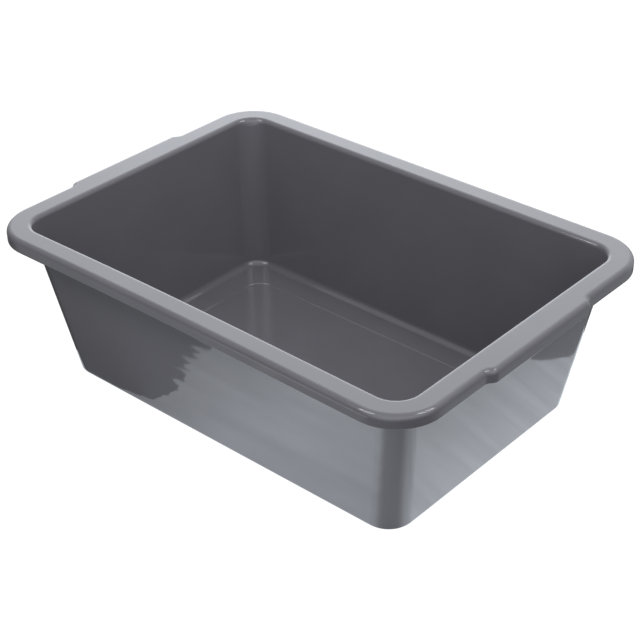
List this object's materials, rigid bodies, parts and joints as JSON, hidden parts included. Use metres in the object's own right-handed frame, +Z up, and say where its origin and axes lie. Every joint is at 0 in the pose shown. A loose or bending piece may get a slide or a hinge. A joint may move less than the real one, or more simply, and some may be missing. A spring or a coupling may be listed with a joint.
{
  "type": "bus tub",
  "caption": "Open rectangular tub moulded in one piece, with drafted walls, rounded corners, a flat rim turned down into a skirt, and a handle swell at each short end",
  "frame": {"origin": "middle of the underside, on the surface the tub stands on", "axes": "+X along the long sides, towards one handle; +Y across the tub; +Z up, out of the mouth"},
  "size_m": [0.5508, 0.3878, 0.174],
  "materials": {
    "tub_plastic": "smooth moulded grey plastic with a soft gloss; the middle panel of the floor is finely textured"
  },
  "bodies": {
    "root": {"tub": "tub_plastic"}
  },
  "joints": []
}
